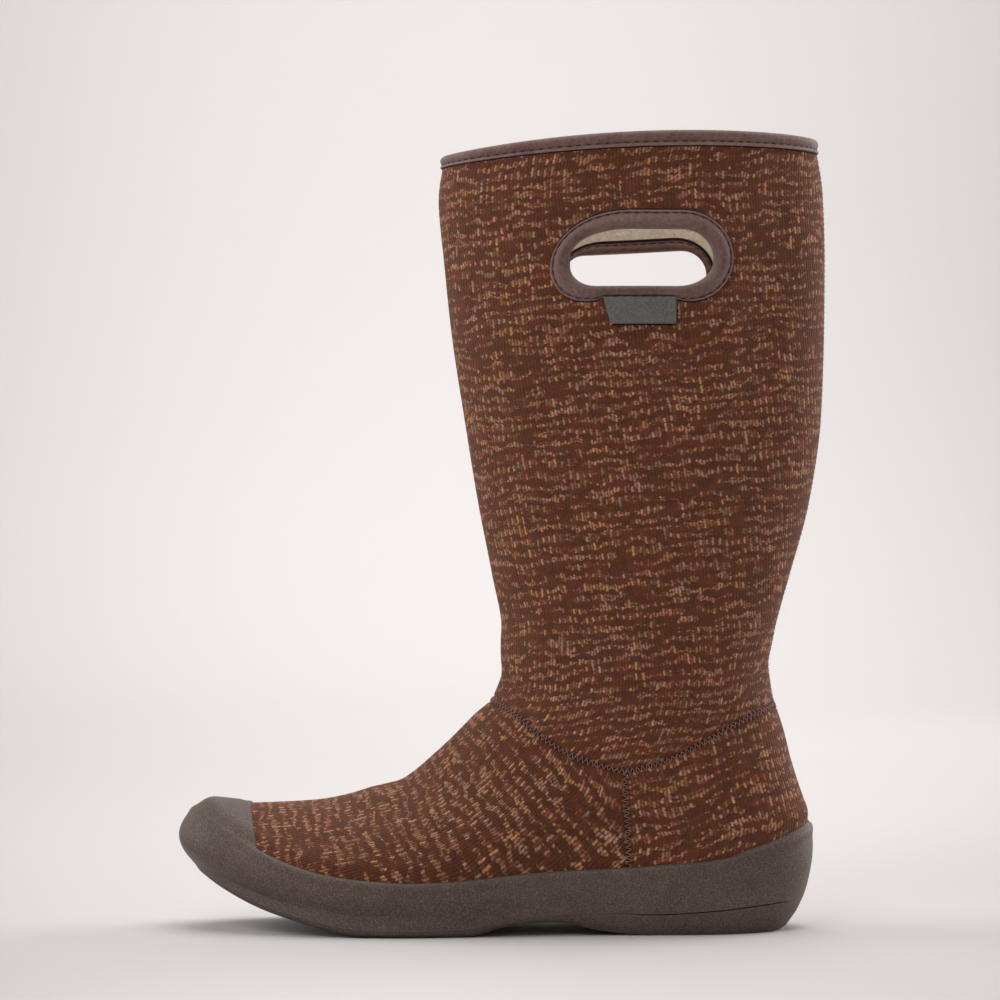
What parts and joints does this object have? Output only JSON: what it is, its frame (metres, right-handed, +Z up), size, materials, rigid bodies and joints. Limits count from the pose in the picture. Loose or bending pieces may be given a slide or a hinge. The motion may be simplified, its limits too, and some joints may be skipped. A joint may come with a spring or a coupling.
{
  "type": "rubber boot",
  "caption": "Tall pull-on winter boot: knit-faced neoprene bootie with handle cut-outs, set in a rubber shell with toe cap and lugged sole.",
  "frame": {"origin": "on the floor under the middle of the boot's box", "axes": "toe towards -X, outer side towards -Y, inner side towards +Y, +Z up the shaft"},
  "size_m": [0.2854, 0.0974, 0.3492],
  "materials": {
    "knit_neoprene": "heathered reddish-brown knit with tan flecks",
    "shell_rubber": "matt fine-grained taupe rubber",
    "sole_rubber": "matt taupe rubber",
    "footbed": "cream fleece over foam",
    "binding": "matt purplish-brown stretch binding",
    "tab": "matt grey rubber, bare"
  },
  "bodies": {
    "root": {"upper": "knit_neoprene", "sidewall_toe_cap": "shell_rubber", "outsole": "sole_rubber", "insole": "footbed", "collar_binding": "binding", "outer_handle_binding": "binding", "inner_handle_binding": "binding", "label_tab": "tab"}
  },
  "joints": []
}
